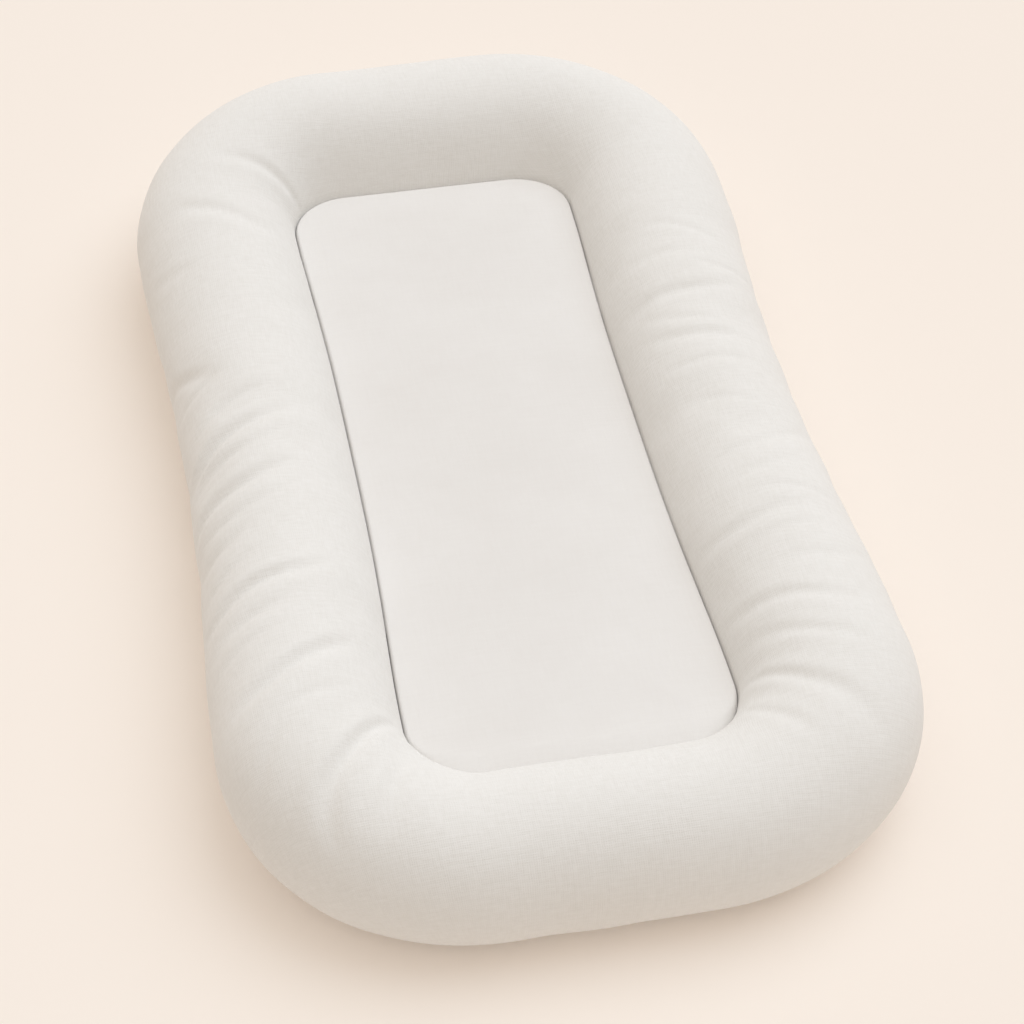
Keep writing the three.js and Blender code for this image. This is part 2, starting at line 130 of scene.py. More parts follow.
def tubeReach(width):
    halfWidth, halfHeight, seamAngle = tubeSection(width)
    return halfWidth * (1 - np.cos(np.radians(seamAngle)))


# The stations round the ring, from the foot's middle up the right side and down the left
def ringStations():
    fine = steps["line"]
    cornerMiddle = math.sqrt(0.5)  # the outward direction's x where a corner is half turned
    line = np.concatenate([endLine(-1, fine), sideLine(4 * fine), endLine(1, fine)[::-1]])
    crest = along(line[:, :2] + line[:, 2:] * tube["waistWidth"] / 2)
    footCorner = np.interp(cornerMiddle, line[:2 * fine, 2], crest[:2 * fine])
    headCorner = np.interp(cornerMiddle, line[:-2 * fine:-1, 2], crest[:-2 * fine:-1])
    places = np.concatenate([
        np.linspace(0, footCorner, steps["end"], endpoint=False),
        np.linspace(footCorner, headCorner, steps["side"], endpoint=False),
        np.linspace(headCorner, crest[-1], steps["end"] + 1),
    ])
    right = np.stack([np.interp(places, crest, line[:, k]) for k in range(4)], 1)
    left = right[-2:0:-1] * [-1, 1, -1, 1]
    x, y, nx, ny = np.concatenate([right, left]).T
    size = np.hypot(nx, ny)
    nx, ny = nx / size, ny / size
    side = lerp(tube["waistWidth"], tube["shoulderWidth"], easeInOut(sideShare(y)))
    end = np.where(y > 0, tube["headWidth"], tube["footWidth"])
    halfWidth, halfHeight, seamAngle = tubeSection(side * nx**2 + end * ny**2)
    shift = (tubeReach(tube["footWidth"]) - tubeReach(tube["headWidth"])) / 2
    return {
        "x": x, "y": y + shift, "nx": nx, "ny": ny, "middle": shift,
        "halfWidth": halfWidth, "halfHeight": halfHeight, "seamAngle": seamAngle,
        "place": np.concatenate([places, 2 * places[-1] - places[-2:0:-1]]),
        "round": 2 * places[-1],
    }


ring = ringStations()
count = len(ring["x"])


def column(values):
    return np.asarray(values)[:, None]


# The angles round the section: over the top, along the allowance, underneath and back
def sectionAngles():
    seam = column(ring["seamAngle"])
    start = tube["baseSeamAngle"]
    over = np.linspace(0, 1, steps["over"], endpoint=False)
    allowance = np.linspace(0, 1, steps["allowance"], endpoint=False) * tube["allowanceAngle"]
    under = np.linspace(0, 1, steps["under"], endpoint=False)
    turned = seam + tube["allowanceAngle"]
    parts = [lerp(start, seam, over), seam + allowance, lerp(turned, start + 360, under)]
    return np.concatenate(parts, 1)


angles = sectionAngles()


# Points on the tube's surface, or a depth below it, and never under the floor
def onRing(degrees, depth=0.0):
    turn = np.radians(degrees)
    wide, high = column(ring["halfWidth"]), column(ring["halfHeight"])
    reach = ring["halfWidth"] * (1 - np.cos(np.radians(ring["seamAngle"])))
    out = column(reach - ring["halfWidth"]) + (wide - depth) * np.cos(turn)
    z = high - tube["restFlat"] + (high - depth) * np.sin(turn)
    x = column(ring["x"]) + column(ring["nx"]) * out
    y = column(ring["y"]) + column(ring["ny"]) * out
    return np.stack([x, y, np.maximum(z, depth)], -1)


def ringNormals(degrees):
    out = np.cos(np.radians(degrees)) / column(ring["halfWidth"])
    up = np.sin(np.radians(degrees)) / column(ring["halfHeight"])
    size = np.hypot(out, up)
    out, up = out / size, up / size
    return np.stack([column(ring["nx"]) * out, column(ring["ny"]) * out, up], -1)


def crestLine():
    return onRing(np.full((count, 1), crestAngle))[:, 0, :2]


# Cloth laid over the tube from its crest: a flat weave's own two directions
def weaveCoordinates(points, degrees):
    wide, high = column(ring["halfWidth"]), column(ring["halfHeight"])
    middle = np.radians((degrees + np.roll(degrees, -1, 1)) / 2)
    turn = np.radians(np.diff(degrees, axis=1))
    length = np.hypot(wide * np.sin(middle), high * np.cos(middle))[:, :-1] * turn
    arc = np.concatenate([np.zeros((count, 1)), -np.cumsum(length, 1)], 1)
    atCrest = np.array([np.interp(crestAngle, d, a) for d, a in zip(degrees, arc)])
    outwards = np.stack([ring["nx"], ring["ny"]], -1)[:, None, :]
    return crestLine()[:, None, :] + outwards * (arc - column(atCrest))[..., None]


# Folds in the ring's cloth: where each lies along the crest, the angles it runs between,
# how far it leans along the ring for each degree, its depth and its width. The cloth sinks steeply
# into a fold and comes up slowly on the side towards the foot, so its place is where it looks dark.
# The last thirteen are finer creases between the others.
folds = [
    {"place": 0.1445, "from": 76, "to": 148, "lean": 0.0001, "depth": 0.0018, "width": 0.0066},
    {"place": 0.1845, "from": 43, "to": 166, "lean": 0.0003, "depth": 0.0031, "width": 0.0076},
    {"place": 0.2295, "from": 64, "to": 156, "lean": 0.0003, "depth": 0.0021, "width": 0.0057},
    {"place": 0.2605, "from": 56, "to": 168, "lean": 0.0002, "depth": 0.0028, "width": 0.0057},
    {"place": 0.2895, "from": 36, "to": 118, "lean": -0.0001, "depth": 0.0012, "width": 0.0057},
    {"place": 0.3145, "from": 63, "to": 132, "lean": -0.0001, "depth": 0.0012, "width": 0.0047},
    {"place": 0.3315, "from": 72, "to": 162, "lean": -0.0001, "depth": 0.0026, "width": 0.0057},
    {"place": 0.4025, "from": 30, "to": 126, "lean": -0.0003, "depth": 0.0018, "width": 0.0057},
    {"place": 0.4855, "from": 60, "to": 134, "lean": 0.0001, "depth": 0.0016, "width": 0.0047},
    {"place": 0.5145, "from": 52, "to": 142, "lean": 0.0002, "depth": 0.0023, "width": 0.0057},
    {"place": 0.5345, "from": 74, "to": 138, "lean": 0.0003, "depth": 0.0012, "width": 0.0047},
    {"place": 0.5625, "from": 48, "to": 148, "lean": -0.0001, "depth": 0.0026, "width": 0.0057},
    {"place": 0.6015, "from": 72, "to": 138, "lean": 0.0000, "depth": 0.0012, "width": 0.0057},
    {"place": 1.1050, "from": 80, "to": 174, "lean": -0.0002, "depth": 0.0027, "width": 0.0076},
    {"place": 1.1790, "from": 54, "to": 136, "lean": 0.0005, "depth": 0.0027, "width": 0.0076},
    {"place": 1.2240, "from": 20, "to": 70, "lean": 0.0003, "depth": 0.0014, "width": 0.0066},
    {"place": 1.3245, "from": -12, "to": 62, "lean": 0.0004, "depth": 0.0025, "width": 0.0066},
    {"place": 1.4065, "from": 2, "to": 114, "lean": -0.0004, "depth": 0.0059, "width": 0.0066},
    {"place": 1.4305, "from": 15, "to": 78, "lean": -0.0003, "depth": 0.0026, "width": 0.0056},
    {"place": 1.4575, "from": 4, "to": 106, "lean": -0.0003, "depth": 0.0059, "width": 0.0066},
    {"place": 1.5065, "from": 10, "to": 72, "lean": -0.0003, "depth": 0.0026, "width": 0.0056},
    {"place": 1.5525, "from": 12, "to": 116, "lean": -0.0003, "depth": 0.0054, "width": 0.0056},
    {"place": 1.5785, "from": 32, "to": 92, "lean": -0.0004, "depth": 0.0031, "width": 0.0056},
    {"place": 1.6255, "from": 36, "to": 130, "lean": -0.0005, "depth": 0.0054, "width": 0.0066},
    {"place": 1.7025, "from": 34, "to": 152, "lean": -0.0005, "depth": 0.0063, "width": 0.0075},
    {"place": 1.7405, "from": 60, "to": 124, "lean": -0.0003, "depth": 0.0027, "width": 0.0075},
    {"place": 0.3505, "from": 40, "to": 112, "lean": 0.0002, "depth": 0.0012, "width": 0.0040},
    {"place": 0.3745, "from": 58, "to": 120, "lean": -0.0002, "depth": 0.0011, "width": 0.0040},
    {"place": 0.4455, "from": 66, "to": 128, "lean": 0.0002, "depth": 0.0011, "width": 0.0040},
    {"place": 0.5835, "from": 24, "to": 88, "lean": 0.0002, "depth": 0.0016, "width": 0.0040},
    {"place": 0.6275, "from": 50, "to": 118, "lean": 0.0003, "depth": 0.0014, "width": 0.0045},
    {"place": 1.3505, "from": 8, "to": 70, "lean": -0.0003, "depth": 0.0018, "width": 0.0040},
    {"place": 1.3775, "from": 26, "to": 104, "lean": -0.0004, "depth": 0.0020, "width": 0.0040},
    {"place": 1.4215, "from": 40, "to": 112, "lean": -0.0004, "depth": 0.0014, "width": 0.0038},
    {"place": 1.4825, "from": 22, "to": 96, "lean": -0.0003, "depth": 0.0020, "width": 0.0040},
    {"place": 1.5325, "from": 18, "to": 74, "lean": -0.0004, "depth": 0.0020, "width": 0.0038},
    {"place": 1.6015, "from": 24, "to": 84, "lean": -0.0005, "depth": 0.0018, "width": 0.0040},
    {"place": 1.6555, "from": 54, "to": 120, "lean": -0.0004, "depth": 0.0017, "width": 0.0040},
    {"place": 1.6795, "from": 22, "to": 88, "lean": -0.0005, "depth": 0.0017, "width": 0.0042},
]

# Every fold's section: in widths, how far its sides spread and how far past its place it is
# lowest, and the low rim around it in depths. Its course wavers a little.
foldShape = {
    "steepSide": 0.85, "slowSide": 1.1, "lowest": 0.65, "rim": 0.45, "rimSpread": 2.2,
    "waver": 0.0014, "waves": 5, "wavesApart": 40,
}


def foldDepths(degrees):
    total = np.zeros(degrees.shape)
    for fold in folds:
        middle = (fold["from"] + fold["to"]) / 2
        wave = np.radians(foldShape["waves"] * degrees) + foldShape["wavesApart"] * fold["place"]
        waver = foldShape["waver"] * np.sin(wave)
        line = fold["place"] + fold["lean"] * (degrees - middle) + waver
        aside = column(ring["place"]) - line
        aside = (aside + ring["round"] / 2) % ring["round"] - ring["round"] / 2
        share = np.clip((degrees - fold["from"]) / (fold["to"] - fold["from"]), 0, 1)
        strength = np.sin(np.pi * share)
        footwards = aside if fold["place"] > ring["round"] / 2 else -aside
        footwards = footwards - foldShape["lowest"] * fold["width"]
        side = np.where(footwards > 0, foldShape["slowSide"], foldShape["steepSide"])
        narrow = footwards / (fold["width"] * side)
        rim = foldShape["rim"] * np.exp(-(narrow / foldShape["rimSpread"]) ** 2)
        total += fold["depth"] * strength * (rim - np.exp(-narrow**2))
    return total


# The slack between the folds: ripples, lower across the ends, and broader lumps under them
ripples = {
    "length": 0.03, "turn": 110, "height": 0.0009, "endShare": 0.25,
    "lumpLength": 0.085, "lumpTurn": 80, "lumpHeight": 0.0012, "lumpStart": 7,
}


def rippleHeights(degrees):
    gathered = lerp(ripples["endShare"], 1, ring["nx"] ** 2)
    size, lump = ripples["length"], ripples["lumpLength"]
    out = np.zeros(degrees.shape)
    for i, (x, y) in enumerate(crestLine()):
        for j, angle in enumerate(degrees[i]):
            fine = Vector((x / size, y / size, angle / ripples["turn"]))
            broad = Vector((x / lump, y / lump, ripples["lumpStart"] + angle / ripples["lumpTurn"]))
            out[i, j] = (
                ripples["height"] * gathered[i] * noise.noise(fine)
                + ripples["lumpHeight"] * noise.noise(broad)
            )
    return out


seamReach = 0.012  # how far from a seam the cloth still feels its pull


# The share of its folds and ripples that the cloth keeps: 0 on a seam, 1 well away from it
def seamEase(degrees):
    seam = column(ring["seamAngle"])
    size = np.radians(1) * column(ring["halfWidth"])
    fromPad = np.abs(degrees - seam) * size / seamReach
    fromBase = np.abs(degrees - tube["baseSeamAngle"]) * size / seamReach
    return np.clip(1 - np.exp(-fromPad**2), 0, 1) * np.clip(1 - np.exp(-fromBase**2), 0, 1)


# Faces over rows and columns of points: a loop of rows round the ring, open or wrapped across
def gridMesh(name, points, uv=None, loop=True, wrap=False):
    rows, columns = points.shape[:2]
    index = np.arange(rows * columns).reshape(rows, columns)
    index = np.pad(index, [(0, int(loop)), (0, int(wrap))], mode="wrap")
    faces = np.stack([index[:-1, :-1], index[1:, :-1], index[1:, 1:], index[:-1, 1:]], -1)
    mesh = bpy.data.meshes.new(name)
    mesh.from_pydata(points.reshape(-1, 3).tolist(), [], faces.reshape(-1, 4).tolist())
    if uv is not None:
        layer = mesh.uv_layers.new(name="weave")
        corners = np.zeros(len(mesh.loops), int)
        mesh.loops.foreach_get("vertex_index", corners)
        layer.data.foreach_set("uv", uv.reshape(-1, 2)[corners].astype(np.float32).ravel())
    for polygon in mesh.polygons:
        polygon.use_smooth = True
    piece = bpy.data.objects.new(name, mesh)
    bpy.context.scene.collection.objects.link(piece)
    return piece


def selectOnly(*pieces):
    bpy.ops.object.select_all(action="DESELECT")
    for piece in pieces:
        piece.select_set(True)
    bpy.context.view_layer.objects.active = pieces[0]


def joinPieces(name, pieces):
    selectOnly(*pieces)
    bpy.ops.object.join()
    pieces[0].name = name
    return pieces[0]


def applyModifier(piece, kind, **settings):
    modifier = piece.modifiers.new(kind.title(), kind)
    for key, value in settings.items():
        setattr(modifier, key, value)
    selectOnly(piece)
    bpy.ops.object.modifier_apply(modifier=modifier.name)


# Materials

def newMaterial(name):
    material = bpy.data.materials.new(name)
    material.use_nodes = True
    return material, material.node_tree, material.node_tree.nodes["Principled BSDF"]


def addNode(tree, kind, inputs=(), **settings):
    made = tree.nodes.new(kind)
    for key, value in settings.items():
        setattr(made, key, value)
    for socket, value in dict(inputs).items():
        if isinstance(value, bpy.types.NodeSocket):
            tree.links.new(value, made.inputs[socket])
        else:
            made.inputs[socket].default_value = value
    return made


def calculate(tree, operation, *values):
    return addNode(tree, "ShaderNodeMath", enumerate(values), operation=operation).outputs[0]


def times(tree, value, factor):
    return calculate(tree, "MULTIPLY", value, factor)


def noiseOf(tree, vector, scale, detail=2.0):
    inputs = {"Vector": vector, "Scale": scale, "Detail": detail}
    return addNode(tree, "ShaderNodeTexNoise", inputs).outputs["Fac"]


def stretched(tree, x, y, z=0.0):
    return addNode(tree, "ShaderNodeCombineXYZ", {"X": x, "Y": y, "Z": z}).outputs[0]


def colourBetween(tree, share, dark, light, **settings):
    colour = addNode(tree, "ShaderNodeMix", {0: share}, data_type="RGBA", **settings)
    colour.inputs["A"].default_value = (*dark, 1)
    colour.inputs["B"].default_value = (*light, 1)
    return colour.outputs["Result"]


def linkBump(tree, shader, height, distance):
    bump = addNode(tree, "ShaderNodeBump", {"Height": height, "Distance": distance})
    tree.links.new(bump.outputs[0], shader.inputs["Normal"])


# What all the woven cloths share: how a thread rises and dips where it crosses another, how far
# each pattern strays from its middle, and how the fibres take the light
weaving = {
    "crossing": 0.35, "level": 0.65, "weftStart": 7.0, "cloudDetail": 3.0,
    "weaveRange": 0.45, "slubRange": 0.34, "cloudRange": 0.2,
    "roughDark": 0.97, "roughLight": 0.84, "specular": 0.25, "sheenRoughness": 0.5,
}


def wovenCloth(name, cloth):
    material, tree, shader = newMaterial(name)
    place = addNode(tree, "ShaderNodeTexCoord").outputs["Object"]
    flat = addNode(tree, "ShaderNodeUVMap", uv_map="weave").outputs[0]
    apart = addNode(tree, "ShaderNodeSeparateXYZ", {"Vector": flat})
    u, v = apart.outputs["X"], apart.outputs["Y"]
    # threads wander a little to either side
    wander = noiseOf(tree, flat, cloth["wanderScale"])
    wander = calculate(tree, "MULTIPLY_ADD", wander, 2 * cloth["wander"], -cloth["wander"])
    warp = times(tree, calculate(tree, "ADD", u, wander), 1 / cloth["pitch"])
    weft = times(tree, calculate(tree, "SUBTRACT", v, wander), 1 / cloth["pitch"])

    def wave(phase, turns):
        return calculate(tree, "COSINE", times(tree, phase, turns))

    def rise(phase):
        return calculate(tree, "MULTIPLY_ADD", wave(phase, 2 * math.pi), 0.5, 0.5)

    crossing = times(tree, wave(warp, math.pi), wave(weft, math.pi))
    over = calculate(tree, "MULTIPLY_ADD", crossing, weaving["crossing"], weaving["level"])
    under = calculate(tree, "MULTIPLY_ADD", crossing, -weaving["crossing"], weaving["level"])
    warpHeight = times(tree, rise(warp), over)
    weftHeight = times(tree, rise(weft), under)
    weave = calculate(tree, "MAXIMUM", warpHeight, weftHeight)

    # slubs: thicker and thinner stretches of thread, long along it and narrow across
    def slubs(scaleU, scaleV, start):
        drawn = stretched(tree, times(tree, u, scaleU), times(tree, v, scaleV), start)
        return noiseOf(tree, drawn, 1.0)

    across, lengthwise = 1 / cloth["slubWidth"], 1 / cloth["slubLength"]
    warpSlubs = slubs(across, lengthwise, 0.0)
    weftSlubs = slubs(lengthwise, across, weaving["weftStart"])
    slub = times(tree, calculate(tree, "ADD", warpSlubs, weftSlubs), cloth["slubShare"])
    height = calculate(tree, "MULTIPLY_ADD", weave, cloth["weaveShare"], slub)
    cloud = noiseOf(tree, place, cloth["cloudScale"], weaving["cloudDetail"])
    tone = calculate(tree, "MULTIPLY_ADD", cloud, cloth["cloudShare"], height)
    # noise stays near its middle, so the tone's useful range lies round the shares' own middle
    middle = 0.5 * cloth["weaveShare"] + cloth["slubShare"] + 0.5 * cloth["cloudShare"]
    reach = (
        weaving["weaveRange"] * cloth["weaveShare"]
        + weaving["slubRange"] * cloth["slubShare"]
        + weaving["cloudRange"] * cloth["cloudShare"]
    )
    toneRange = {"Value": tone, "From Min": middle - reach, "From Max": middle + reach}
    share = addNode(tree, "ShaderNodeMapRange", toneRange).outputs[0]
    colour = colourBetween(tree, share, cloth["dark"], cloth["light"])
    tree.links.new(colour, shader.inputs["Base Color"])
    roughRange = {"To Min": weaving["roughDark"], "To Max": weaving["roughLight"]}
    rough = addNode(tree, "ShaderNodeMapRange", {**toneRange, **roughRange})
    tree.links.new(rough.outputs[0], shader.inputs["Roughness"])
    linkBump(tree, shader, height, cloth["bump"])
    shader.inputs["Specular IOR Level"].default_value = weaving["specular"]
    shader.inputs["Sheen Weight"].default_value = cloth["sheen"]
    shader.inputs["Sheen Roughness"].default_value = weaving["sheenRoughness"]
    return material


linen = wovenCloth("linenCover", {
    "pitch": 0.0014, "wander": 0.0006, "wanderScale": 90,
    "slubWidth": 0.0021, "slubLength": 0.012, "weaveShare": 0.33, "slubShare": 0.75,
    "cloudScale": 14, "cloudShare": 0.35,
    "dark": (0.812, 0.799, 0.770), "light": (0.888, 0.880, 0.862), "bump": 0.00022, "sheen": 0.12,
})
smoothLinen = wovenCloth("linenPad", {
    "pitch": 0.0011, "wander": 0.0005, "wanderScale": 90,
    "slubWidth": 0.0021, "slubLength": 0.02, "weaveShare": 0.13, "slubShare": 0.5,
    "cloudScale": 13, "cloudShare": 1.3,
    "dark": (0.79, 0.77, 0.747), "light": (0.83, 0.816, 0.798), "bump": 0.0001, "sheen": 0.1,
})
baseCloth = wovenCloth("baseCloth", {
    "pitch": 0.0018, "wander": 0.0003, "wanderScale": 60,
    "slubWidth": 0.0015, "slubLength": 0.03, "weaveShare": 0.6, "slubShare": 0.5,
    "cloudScale": 10, "cloudShare": 0.25,
    "dark": (0.68, 0.665, 0.62), "light": (0.81, 0.80, 0.765), "bump": 0.0004, "sheen": 0.1,
})
liningCloth = wovenCloth("liningCloth", {
    "pitch": 0.0006, "wander": 0.0001, "wanderScale": 90,
    "slubWidth": 0.0008, "slubLength": 0.02, "weaveShare": 0.5, "slubShare": 0.5,
    "cloudScale": 12, "cloudShare": 0.2,
    "dark": (0.82, 0.82, 0.80), "light": (0.89, 0.89, 0.88), "bump": 0.0001, "sheen": 0.05,
})


# Loose fibre and foam: soft lumps, or fine cells
softLook = {
    "lumpDetail": 4.0, "grainDetail": 3.0, "darkFrom": 0.4, "lightFrom": 1.1,
    "roughness": 0.95, "specular": 0.2,
}


def softSolid(name, solid):
    material, tree, shader = newMaterial(name)
    place = addNode(tree, "ShaderNodeTexCoord").outputs["Object"]
    broad = noiseOf(tree, place, solid["lumpScale"], softLook["lumpDetail"])
    fine = noiseOf(tree, place, solid["grainScale"], softLook["grainDetail"])
    height = calculate(tree, "MULTIPLY_ADD", fine, solid["grainShare"], broad)
    toneRange = {
        "Value": height, "From Min": softLook["darkFrom"], "From Max": softLook["lightFrom"],
    }
    share = addNode(tree, "ShaderNodeMapRange", toneRange).outputs[0]
    colour = colourBetween(tree, share, solid["dark"], solid["light"])
    tree.links.new(colour, shader.inputs["Base Color"])
    linkBump(tree, shader, height, solid["bump"])
    shader.inputs["Roughness"].default_value = softLook["roughness"]
    shader.inputs["Specular IOR Level"].default_value = softLook["specular"]
    return material


looseFibre = softSolid("looseFibre", {
    "lumpScale": 45, "grainScale": 900, "grainShare": 0.4, "bump": 0.002,
    "dark": (0.86, 0.86, 0.85), "light": (0.93, 0.93, 0.92),
})
softFoam = softSolid("softFoam", {
    "lumpScale": 30, "grainScale": 1400, "grainShare": 0.6, "bump": 0.0006,
    "dark": (0.84, 0.81, 0.72), "light": (0.90, 0.88, 0.80),
})


# Spun thread: fine turns along its own length
def spunThread(name, spun):
    material, tree, shader = newMaterial(name)
    place = addNode(tree, "ShaderNodeTexCoord").outputs["Object"]
    apart = addNode(tree, "ShaderNodeSeparateXYZ", {"Vector": place})
    slope = calculate(tree, "ADD", apart.outputs["X"], apart.outputs["Y"])
    turns = calculate(tree, "SINE", times(tree, slope, 2 * math.pi / spun["turn"]))
    share = calculate(tree, "MULTIPLY_ADD", turns, 0.5, 0.5)
    colour = colourBetween(tree, share, spun["dark"], spun["light"])
    tree.links.new(colour, shader.inputs["Base Color"])
    linkBump(tree, shader, turns, spun["bump"])
    shader.inputs["Roughness"].default_value = spun["roughness"]
    return material


thread = spunThread("thread", {
    "turn": 0.0006, "dark": (0.70, 0.68, 0.63), "light": (0.86, 0.85, 0.81),
    "bump": 0.0001, "roughness": 0.7,
})


# The zip's tape: herringbone cloth, with the smooth coil of teeth along its inner edge
def zipTapeCloth(name, tape):
    material, tree, shader = newMaterial(name)
    place = addNode(tree, "ShaderNodeTexCoord").outputs["Object"]
    apart = addNode(tree, "ShaderNodeSeparateXYZ", {"Vector": place})
    away = calculate(tree, "ABSOLUTE", apart.outputs["X"])
    y = apart.outputs["Y"]

    def rows(value, pitch):
        return calculate(tree, "SINE", times(tree, value, 2 * math.pi / pitch))

    herring = calculate(tree, "PINGPONG", away, tape["herring"])
    twill = rows(calculate(tree, "ADD", y, herring), tape["twill"])
    coil = calculate(tree, "LESS_THAN", away, tape["coilReach"])
    turns = rows(y, tape["coilPitch"])
    height = addNode(tree, "ShaderNodeMix", {"Factor": coil, "A": twill, "B": turns}).outputs[0]
    grain = noiseOf(tree, place, tape["grainScale"])
    share = calculate(tree, "MULTIPLY_ADD", height, tape["heightShare"], grain)
    tone = colourBetween(tree, share, tape["dark"], tape["light"], clamp_factor=True)
    colour = addNode(tree, "ShaderNodeMix", {0: coil}, data_type="RGBA")
    tree.links.new(tone, colour.inputs["A"])
    colour.inputs["B"].default_value = (*tape["coil"], 1)
    tree.links.new(colour.outputs["Result"], shader.inputs["Base Color"])
    roughRange = {"Value": coil, "To Min": tape["clothRough"], "To Max": tape["coilRough"]}
    rough = addNode(tree, "ShaderNodeMapRange", roughRange)
    tree.links.new(rough.outputs[0], shader.inputs["Roughness"])
    linkBump(tree, shader, height, tape["bump"])
    shader.inputs["Specular IOR Level"].default_value = tape["specular"]
    return material


zipTape = zipTapeCloth("zipTape", {
    "herring": 0.0024, "twill": 0.0011, "coilReach": 0.003, "coilPitch": 0.0012, "bump": 0.00015,
    "grainScale": 1800, "heightShare": 0.3,
    "clothRough": 0.9, "coilRough": 0.42, "specular": 0.35,
    "dark": (0.66, 0.645, 0.60), "light": (0.80, 0.79, 0.75), "coil": (0.80, 0.79, 0.75),
})


def brushedMetal(name, metal):
    material, tree, shader = newMaterial(name)
    place = addNode(tree, "ShaderNodeTexCoord").outputs["Object"]
    apart = addNode(tree, "ShaderNodeSeparateXYZ", {"Vector": place})
    x = times(tree, apart.outputs["X"], metal["across"])
    y = times(tree, apart.outputs["Y"], metal["lengthwise"])
    lines = noiseOf(tree, stretched(tree, x, y, apart.outputs["Z"]), 1.0, metal["lineDetail"])
    wear = noiseOf(tree, place, metal["wearScale"])
    roughRange = {"Value": wear, "To Min": metal["smoothest"], "To Max": metal["roughest"]}
    rough = addNode(tree, "ShaderNodeMapRange", roughRange)
    tree.links.new(rough.outputs[0], shader.inputs["Roughness"])
    colour = colourBetween(tree, lines, metal["dark"], metal["light"])
    tree.links.new(colour, shader.inputs["Base Color"])
    linkBump(tree, shader, lines, metal["bump"])
    shader.inputs["Metallic"].default_value = 1
    return material


satinMetal = brushedMetal("satinMetal", {
    "across": 9000, "lengthwise": 700, "lineDetail": 3.0, "wearScale": 400,
    "smoothest": 0.24, "roughest": 0.46, "bump": 0.00002,
    "dark": (0.52, 0.51, 0.49), "light": (0.68, 0.67, 0.65),
})


def giveMaterial(piece, material):
    piece.data.materials.clear()
    piece.data.materials.append(material)


# The ring's cloth, simulated under its filling's pressure and held at both seams. Only its
# wrinkles are taken from there, because the ring's size and shape are settled.

settle = {
    "every": 2, "columns": 44,  # every second station, and this many points over the tube
    "frames": 20, "pressure": 4, "spare": 0.006, "hold": 0.12, "quality": 4, "mass": 0.2,
    "stiffness": 15, "bending": 2,
    "calmAlong": 12, "calmAcross": 4,  # what is broader than these isn't a wrinkle
    "share": 0.7, "cap": 0.0013,
}


# Averages over the neighbours to either side, twice
def blurred(values, reach, axis):
    width = [(0, 0), (0, 0)]
    width[axis] = (reach, reach)
    for _ in range(2):
        wide = np.pad(values, width, mode="wrap" if axis == 0 else "edge")
        places = np.arange(values.shape[axis])
        moved = [np.take(wide, places + k, axis) for k in range(2 * reach + 1)]
        values = sum(moved) / len(moved)
    return values


def simulate(piece, held):
    everywhere = list(range(len(piece.data.vertices)))
    group = piece.vertex_groups.new(name="held")
    group.add(everywhere, settle["hold"], "REPLACE")
    group.add(held, 1.0, "REPLACE")
    cloth = piece.modifiers.new("Cloth", "CLOTH")
    cloth.settings.quality = settle["quality"]
    cloth.settings.mass = settle["mass"]
    cloth.settings.tension_stiffness = settle["stiffness"]
    cloth.settings.compression_stiffness = settle["stiffness"]
    cloth.settings.bending_stiffness = settle["bending"]
    cloth.settings.use_pressure = True
    cloth.settings.uniform_pressure_force = settle["pressure"]
    cloth.settings.shrink_min = -settle["spare"]
    cloth.settings.vertex_group_mass = group.name
    cloth.settings.effector_weights.gravity = 0
    cloth.collision_settings.use_self_collision = False
    cloth.point_cache.frame_end = settle["frames"]
    for moment in range(1, settle["frames"] + 1):
        bpy.context.scene.frame_set(moment)
    shaped = piece.evaluated_get(bpy.context.evaluated_depsgraph_get()).to_mesh()
    places = np.zeros(3 * len(everywhere))
    shaped.vertices.foreach_get("co", places)
    bpy.data.objects.remove(piece)
    bpy.context.scene.frame_set(1)
    return places


def simulatedWrinkles():
    rows = np.arange(0, count, settle["every"])
    shares = np.linspace(0, 1, settle["columns"])
    last = column(ring["seamAngle"]) + tube["allowanceAngle"]
    degrees = lerp(tube["baseSeamAngle"], last, shares)
    bumps = rippleHeights(degrees) * seamEase(degrees)
    normals = ringNormals(degrees)[rows]
    before = onRing(degrees)[rows] + normals * bumps[rows][..., None]
    index = np.arange(before[..., 0].size).reshape(before.shape[:2])
    piece = gridMesh("simulatedCover", before)
    held = index[:, [0, -2, -1]]  # the base's seam, and the allowance past the pad's
    after = simulate(piece, held.ravel().tolist()).reshape(before.shape)
    moved = ((after - before) * normals).sum(-1)
    calm = blurred(blurred(moved, settle["calmAlong"], 0), settle["calmAcross"], 1)
    wrinkles = np.clip(settle["share"] * blurred(moved - calm, 1, 0), -settle["cap"], settle["cap"])
    print("cover simulated, wrinkles up to", round(float(abs(wrinkles).max()), 5))
    stations = np.arange(count)
    perStation = np.stack([np.interp(stations, rows, w, period=count) for w in wrinkles.T], 1)
    share = (angles - tube["baseSeamAngle"]) / (last - tube["baseSeamAngle"])
    fine = np.array([np.interp(a, shares, w, right=0) for a, w in zip(share, perStation)])
    return blurred(blurred(fine, 1, 0), 1, 1)


smoothRing = onRing(angles)
clothHeights = foldDepths(angles) + rippleHeights(angles) + simulatedWrinkles()
clothHeights = clothHeights * seamEase(angles)
clothPoints = smoothRing + ringNormals(angles) * clothHeights[..., None]
weaveUv = weaveCoordinates(smoothRing, angles)
print("ring's cloth shaped:", clothPoints.shape)

cover = {"cloth": 0.0012, "columns": steps["over"] + steps["allowance"] + 1}


